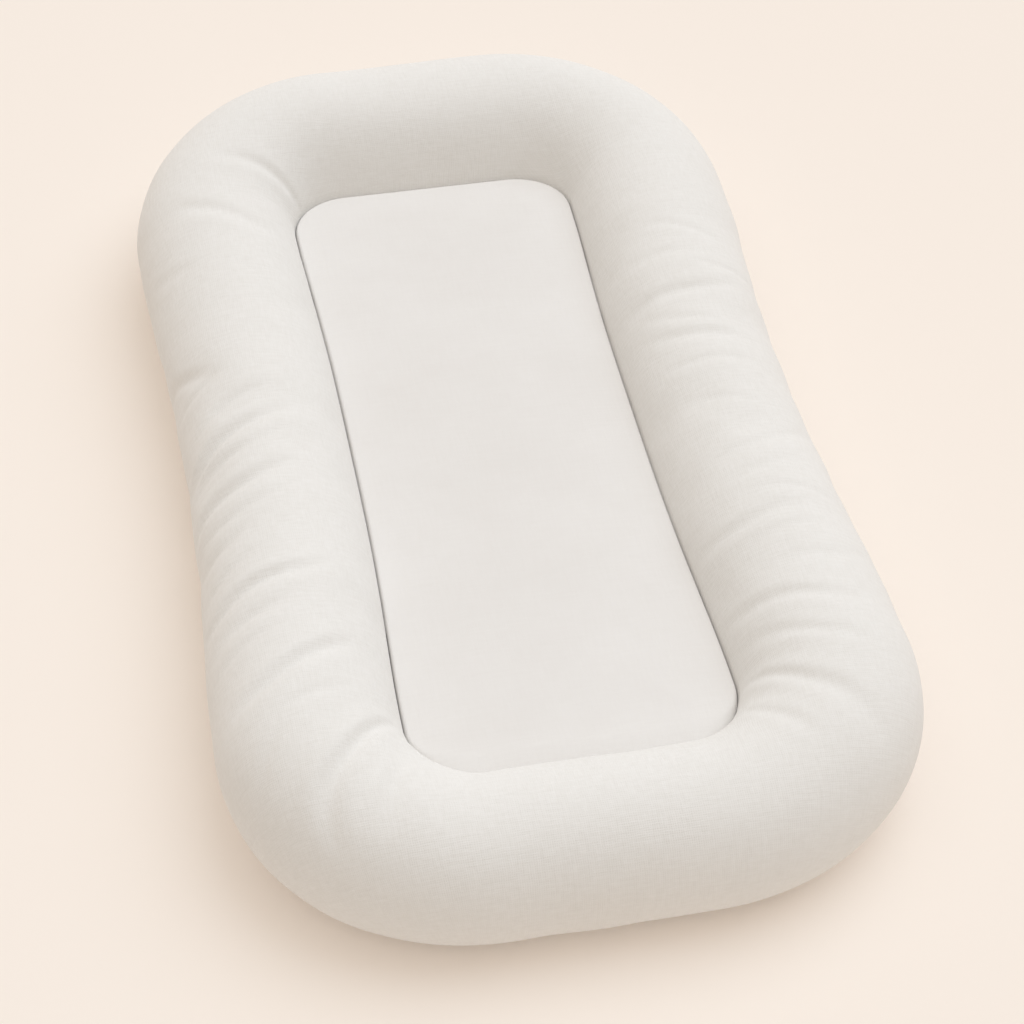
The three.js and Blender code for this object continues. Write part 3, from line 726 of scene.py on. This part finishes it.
def makeCover():
    last = cover["columns"]
    piece = gridMesh("bolsterCover", clothPoints[:, :last], weaveUv[:, :last])
    applyModifier(piece, "SOLIDIFY", thickness=cover["cloth"], offset=-1, use_rim=True)
    giveMaterial(piece, linen)
    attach(piece, "lounger")
    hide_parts("bolster_cover")
    return piece


bolsterCover = makeCover()
print("bolster cover sewn:", len(bolsterCover.data.polygons), "faces")

# The pad: rings along its rounded edge, then a grid across the middle

pad = {
    "edgeGap": 0.0003,  # between the pad's side and the tube, above their seam
    "edgeRound": 0.015, "headRound": 0.0075, "sideRound": 0.0016,  # foot, head and sides
    "edgeShares": (0, 0.01, 0.04, 0.1, 0.18, 0.27, 0.38, 0.54, 0.75, 1),
    "edgeRise": 0.0050, "edgeFull": 1.5, "crown": 0.0035, "cloth": 0.0012, "gap": 0.0003,
}

# The pad's slack: broad waves and fine ones, which start a little way in from its edge
padWaves = {
    "calm": 0.02, "broad": (0.07, 0.09, 3), "broadHeight": 0.0008,
    "fine": (0.03, 0.02, 5), "fineHeight": 0.00025,
}


def padHeight(inset, edgeRound):
    start = pad["edgeGap"]
    fromCrest = 1 - np.clip((inset - start) / (edgeRound - start), 0, 1)
    fromMiddle = 1 - inset / (well["waistWidth"] / 2)
    edge = (1 - fromCrest ** pad["edgeFull"]) ** (1 / pad["edgeFull"])
    return pad["edgeRise"] * edge + pad["crown"] * (1 - fromMiddle**2)


def insetRing(inset, z):
    x = ring["x"] - ring["nx"] * inset
    y = ring["y"] - ring["ny"] * inset
    return np.stack([x, y, np.full(count, z)], -1)


# A grid across a ring of stations, whose corners lie at the middles of the ring's four corners
def acrossRing(points):
    end, side = steps["end"], steps["side"]
    foot = np.concatenate([points[-end:], points[:end + 1]])
    right = points[end:end + side + 1]
    head = points[end + side:3 * end + side + 1][::-1]
    left = points[3 * end + side:3 * end + 2 * side + 1][::-1]
    u = np.linspace(0, 1, 2 * end + 1)[:, None, None]
    v = np.linspace(0, 1, side + 1)[None, :, None]
    between = (1 - v) * foot[:, None] + v * head[:, None] + (1 - u) * left[None] + u * right[None]
    footCorners = (1 - u) * (1 - v) * foot[0] + u * (1 - v) * foot[-1]
    return between - (footCorners + (1 - u) * v * head[0] + u * v * head[-1])


def nearestOf(points, line):
    out = np.zeros(len(points))
    batch = 2000  # points at a time, to spare memory
    for i in range(0, len(points), batch):
        gap = points[i:i + batch, None, :2] - line[None, :, :2]
        out[i:i + batch] = np.sqrt((gap**2).sum(-1)).min(1)
    return out


def waveAt(x, y, wave):
    return noise.noise(Vector((x / wave[0], y / wave[1], wave[2])))


def padTop():
    grid = acrossRing(insetRing(pad["edgeRound"], 0.0))
    flat = grid.reshape(-1, 3)
    inset = nearestOf(flat, insetRing(0.0, 0.0))
    inset = np.clip(inset, pad["edgeRound"], well["waistWidth"] / 2)
    flat[:, 2] = tube["seamHeight"] + padHeight(inset, pad["edgeRound"])
    calm = np.clip((inset - pad["edgeRound"]) / padWaves["calm"], 0, 1)
    for i, (x, y, z) in enumerate(flat):
        broad = padWaves["broadHeight"] * waveAt(x, y, padWaves["broad"])
        fine = padWaves["fineHeight"] * waveAt(x, y, padWaves["fine"])
        flat[i, 2] = z + calm[i] * (broad + fine)
    return flat.reshape(grid.shape)


def flatGrid(name, points):
    return gridMesh(name, points, points[..., :2], loop=False)


weldDistance = 1e-6


def joinGrids(name, parts):
    piece = joinPieces(name, parts)
    bpy.ops.object.mode_set(mode="EDIT")
    bpy.ops.mesh.select_all(action="SELECT")
    bpy.ops.mesh.remove_doubles(threshold=weldDistance)
    bpy.ops.object.mode_set(mode="OBJECT")
    return piece


def makePanel():
    seam = column(ring["seamAngle"])
    turnedDown = [seam + tube["allowanceAngle"] * share for share in (1, 0.5, 0)]
    hidden = [onRing(degrees, -pad["gap"])[:, 0] for degrees in turnedDown]
    endRound = np.where(ring["ny"] < 0, pad["edgeRound"], pad["headRound"])
    edgeRound = lerp(pad["sideRound"], endRound, ring["ny"] ** 2)
    insets = lerp(pad["edgeGap"], pad["edgeRound"], np.array(pad["edgeShares"]))
    edge = [insetRing(inset, tube["seamHeight"] + padHeight(inset, edgeRound)) for inset in insets]
    rings = np.stack([*hidden, *edge], 1)
    border = gridMesh("padEdge", rings, rings[..., :2])
    piece = joinGrids("centrePanel", [border, flatGrid("padTop", padTop())])
    applyModifier(piece, "SOLIDIFY", thickness=pad["cloth"], offset=-1, use_rim=True)
    giveMaterial(piece, smoothLinen)
    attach(piece, "lounger")
    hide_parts("centre_panel")
    return piece


centrePanel = makePanel()
print("centre panel sewn:", len(centrePanel.data.polygons), "faces")

# The ring's inner layers: a thin lining, and the loose fibre that it holds. Both follow the
# cover's folds.

layers = {
    "liningDepth": 0.0015, "liningCloth": 0.0008, "fillDepth": 0.0026,
    "closingSeam": 2,  # degrees to either side of straight down
    "columns": 44,
}


def heightsAt(degrees):
    around = (degrees - tube["baseSeamAngle"]) % 360 + tube["baseSeamAngle"]
    return np.array([np.interp(a, b, h) for a, b, h in zip(around, angles, clothHeights)])


def innerRing(degrees, depth):
    degrees = np.broadcast_to(degrees, (count, len(degrees)))
    points = onRing(degrees, depth) + ringNormals(degrees) * heightsAt(degrees)[..., None]
    points[..., 2] = np.maximum(points[..., 2], depth)
    return points


def makeLining():
    low = floorAngle + layers["closingSeam"]
    high = floorAngle + 360 - layers["closingSeam"]
    points = innerRing(np.linspace(low, high, layers["columns"]), layers["liningDepth"])
    piece = gridMesh("bolsterLining", points, points[..., :2])
    applyModifier(piece, "SOLIDIFY", thickness=layers["liningCloth"], offset=-1, use_rim=True)
    giveMaterial(piece, liningCloth)
    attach(piece, "lounger")
    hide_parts("bolster_lining")


def makeFill():
    degrees = np.linspace(floorAngle, floorAngle + 360, layers["columns"], endpoint=False)
    piece = gridMesh("bolsterFill", innerRing(degrees, layers["fillDepth"]), wrap=True)
    giveMaterial(piece, looseFibre)
    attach(piece, "lounger")
    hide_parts("bolster_fill")


makeLining()
makeFill()
print("lining and fibre laid in")

# The pad's foam, which gives way over the zip

foam = {
    "under": 0.0015, "sideInset": 0.0031, "low": 0.0085, "edgeRound": 0.003, "belowSeam": 0.0003,
    "roundShare": 0.3, "shoulderShare": 0.3,
}
zipRoom = {"halfWidth": 0.0161, "halfLength": 0.2175, "top": 0.0118}


def makeFoam():
    topInset, side = pad["edgeRound"], foam["sideInset"]
    low, seamHeight = foam["low"], tube["seamHeight"]
    cut = foam["edgeRound"] * foam["roundShare"]
    rise = padHeight(topInset, topInset)
    shoulder = lerp(side, topInset, foam["shoulderShare"])
    rings = np.stack([
        insetRing(topInset, low),
        insetRing(side + foam["edgeRound"], low),
        insetRing(side + cut, low + cut),
        insetRing(side, low + foam["edgeRound"]),
        insetRing(side, seamHeight - foam["belowSeam"]),
        insetRing(shoulder, seamHeight + rise * foam["shoulderShare"]),
        insetRing(topInset, seamHeight + rise - foam["under"]),
    ], 1)
    parts = [
        gridMesh("foamSide", rings, rings[..., :2]),
        flatGrid("foamTop", padTop() - [0, 0, foam["under"]]),
        flatGrid("foamBottom", acrossRing(insetRing(topInset, low))[:, ::-1]),
    ]
    piece = joinGrids("mattressFoam", parts)
    bpy.ops.object.select_all(action="DESELECT")
    bpy.ops.mesh.primitive_cube_add(size=1, location=(0, ring["middle"], 0))
    room = bpy.context.object
    room.scale = (2 * zipRoom["halfWidth"], 2 * zipRoom["halfLength"], 2 * zipRoom["top"])
    bpy.ops.object.transform_apply(location=True, scale=True)
    applyModifier(piece, "BOOLEAN", object=room, operation="DIFFERENCE", solver="EXACT")
    bpy.data.objects.remove(room)
    giveMaterial(piece, softFoam)
    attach(piece, "lounger")
    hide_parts("mattress_foam")


makeFoam()
print("foam cut")

# The base: from its seam low on the outside, flat where it lies on the floor, and up to the slot
# for the zip

bottom = {
    "gap": 0.0003, "restEdge": 8, "rise": 0.007, "ramp": 0.02, "cloth": 0.0012,
    "slotHalfWidth": 0.0064, "slotHalfLength": 0.212, "hem": 0.0012, "hemDrop": 0.0003,
    "outerSteps": 9, "restSteps": (3, -3), "rampSteps": 4, "middleSteps": 5,
    "flat": (0.41, 0.77), "flatArea": 0.29,
}


def slotRing(beyond, z):
    halfWidth, halfLength = bottom["slotHalfWidth"] + beyond, bottom["slotHalfLength"] + beyond
    across = np.clip(ring["x"] / (well["waistWidth"] / 2) * halfWidth, -halfWidth, halfWidth)
    lengthwise = (ring["y"] - ring["middle"]) / halfLengthOfWell * halfLength + ring["middle"]
    return np.stack([across, lengthwise, np.full(count, z)], -1)


def stepsOf(many):
    return np.arange(1, many + 1) / many


def makeBase():
    start = tube["baseSeamAngle"] - np.degrees(bottom["gap"] / ring["halfHeight"])
    rest = floorAngle + bottom["restEdge"]
    outer = np.linspace(0, 1, bottom["outerSteps"])
    rings = [onRing(column(lerp(start, rest, share)))[:, 0] for share in outer]
    across = [floorAngle + offset for offset in (*bottom["restSteps"], -bottom["restEdge"])]
    rings += [onRing(np.full((count, 1), angle))[:, 0] for angle in across]
    rings += [insetRing(0, bottom["rise"] / 2)]
    edge, inner = rings[-1], insetRing(bottom["ramp"], bottom["rise"])
    slot = slotRing(bottom["hem"] * 2, bottom["rise"])
    rings += [lerp(edge, inner, share) for share in stepsOf(bottom["rampSteps"])]
    rings += [lerp(inner, slot, share) for share in stepsOf(bottom["middleSteps"])]
    rings += [slotRing(bottom["hem"], bottom["rise"] - bottom["hemDrop"])]
    rings += [slotRing(0, bottom["rise"])]
    points = np.stack(rings, 1)[:, ::-1]
    piece = gridMesh("basePanel", points, points[..., :2])
    applyModifier(piece, "SOLIDIFY", thickness=bottom["cloth"], offset=-1, use_rim=True)
    giveMaterial(piece, baseCloth)
    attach(piece, "lounger")
    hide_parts("base_panel")
    area = sum(polygon.area for polygon in piece.data.polygons) / 2
    print("base's own area:", round(area, 4), "cut from", bottom["flatArea"])
    return piece


basePanel = makeBase()
print("base sewn:", len(basePanel.data.polygons), "faces")

# Two rows of stitches hold the zip's tapes to the slot, and one row crosses each end

stitch = {
    "length": 0.0026, "width": 0.0006, "apart": 0.0037, "fromSlot": 0.0030,
    "segments": 8, "rings": 5,
}


def stitchRow(start, end):
    way = Vector(end) - Vector(start)
    bpy.ops.object.select_all(action="DESELECT")
    bpy.ops.mesh.primitive_uv_sphere_add(
        segments=stitch["segments"], ring_count=stitch["rings"], radius=0.5, location=start,
    )
    row = bpy.context.object
    row.scale = (stitch["length"], stitch["width"], stitch["width"])
    row.rotation_euler = (0, 0, math.atan2(way.y, way.x))
    bpy.ops.object.transform_apply(location=True, rotation=True, scale=True)
    many = round(way.length / stitch["apart"]) + 1
    step = way / (many - 1)
    applyModifier(row, "ARRAY", count=many, use_relative_offset=False, use_constant_offset=True,
                  constant_offset_displace=step)
    bpy.ops.object.shade_smooth()
    return row


def makeStitches():
    across = bottom["slotHalfWidth"] + stitch["fromSlot"]
    lengthwise = bottom["slotHalfLength"] + stitch["fromSlot"]
    low, high = ring["middle"] - lengthwise, ring["middle"] + lengthwise
    z = bottom["rise"]
    rows = [stitchRow((side * across, low, z), (side * across, high, z)) for side in (-1, 1)]
    inside = across - stitch["apart"]
    rows += [stitchRow((-inside, y, z), (inside, y, z)) for y in (low, high)]
    piece = joinPieces("zipStitches", rows)
    giveMaterial(piece, thread)
    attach(piece, "lounger")


makeStitches()
print("zip stitched in")

# The zip's own parts keep their CAD shape

for name, node in nodes.items():
    if name.startswith("zip_tape"):
        giveMaterial(node, zipTape)
    elif name.startswith("zip_"):
        giveMaterial(node, satinMetal)
print("zip finished")

# Camera, floor and light

view = {
    "focalPixels": 2617.33, "pixels": 1024, "sensor": 36,
    "elevation": 45.848, "azimuth": -12.508, "roll": 1.574,
    "target": (-0.00204, -0.07459, 0.0596), "distance": 1.79688,
}


# A direction that rises from the floor: its azimuth counts from the head, or with -1 from the foot
def direction(place, ahead=1):
    azimuth, elevation = math.radians(place["azimuth"]), math.radians(place["elevation"])
    level = math.cos(elevation)
    return Vector((
        math.sin(azimuth) * level, ahead * math.cos(azimuth) * level, math.sin(elevation),
    ))


def makeCamera():
    back = direction(view, -1)
    data = bpy.data.cameras.new("camera")
    data.sensor_width = view["sensor"]
    data.lens = view["focalPixels"] / view["pixels"] * view["sensor"]
    camera = bpy.data.objects.new("camera", data)
    bpy.context.scene.collection.objects.link(camera)
    camera.location = Vector(view["target"]) + back * view["distance"]
    camera.rotation_mode = "QUATERNION"
    turn = Quaternion((0, 0, 1), math.radians(view["roll"]))
    camera.rotation_quaternion = (-back).to_track_quat("-Z", "Y") @ turn
    bpy.context.scene.camera = camera


makeCamera()

studio = {
    "floorSize": 30, "floorColour": (0.945, 0.87, 0.80), "shownColour": (0.930, 0.847, 0.768),
    "skyStrength": 0.51, "skyColour": (1, 0.895, 0.79),
}

lamps = {
    "window": {
        "strength": 0.85, "spread": 56, "elevation": 60, "azimuth": 64,
        "colour": (0.76, 0.87, 1), "shadow": True,
    },
    "far": {
        "strength": 0.58, "spread": 20, "elevation": 40, "azimuth": 8,
        "colour": (0.97, 0.98, 1), "shadow": False,
    },
    "ceiling": {
        "strength": 0.56, "spread": 80, "elevation": 89, "azimuth": 50,
        "colour": (0.98, 1, 1), "shadow": True,
    },
}


def makeLamp(name, lamp):
    light = bpy.data.lights.new(name, "SUN")
    light.energy = lamp["strength"]
    light.color = lamp["colour"]
    light.angle = math.radians(lamp["spread"])
    light.use_shadow = lamp["shadow"]
    piece = bpy.data.objects.new(name, light)
    bpy.context.scene.collection.objects.link(piece)
    piece.rotation_mode = "QUATERNION"
    piece.rotation_quaternion = direction(lamp).to_track_quat("Z", "Y")


def makeStudio():
    bpy.ops.object.select_all(action="DESELECT")
    bpy.ops.mesh.primitive_plane_add(size=studio["floorSize"])
    floor = bpy.context.object
    floor.name = "floor"
    material, _, shader = newMaterial("paleFloor")
    shader.inputs["Base Color"].default_value = (*studio["floorColour"], 1)
    shader.inputs["Roughness"].default_value = 1
    shader.inputs["Specular IOR Level"].default_value = 0
    giveMaterial(floor, material)
    for name, lamp in lamps.items():
        makeLamp(name, lamp)
    world = bpy.data.worlds.new("studio")
    bpy.context.scene.world = world
    world.use_nodes = True
    tree = world.node_tree
    sky = tree.nodes["Background"]
    sky.inputs["Strength"].default_value = studio["skyStrength"]
    sky.inputs["Color"].default_value = (*studio["skyColour"], 1)
    background = {"Color": (*studio["shownColour"], 1), "Strength": 1.0}
    shown = addNode(tree, "ShaderNodeBackground", background)
    path = addNode(tree, "ShaderNodeLightPath")
    seen = calculate(tree, "MAXIMUM", path.outputs["Is Camera Ray"], path.outputs["Is Glossy Ray"])
    seen = calculate(tree, "MAXIMUM", seen, path.outputs["Is Transmission Ray"])
    mix = addNode(tree, "ShaderNodeMixShader", {0: seen, 1: sky.outputs[0], 2: shown.outputs[0]})
    tree.links.new(mix.outputs[0], tree.nodes["World Output"].inputs["Surface"])


makeStudio()
print("camera and studio set")
bpy.context.scene.view_settings.view_transform = "Standard"
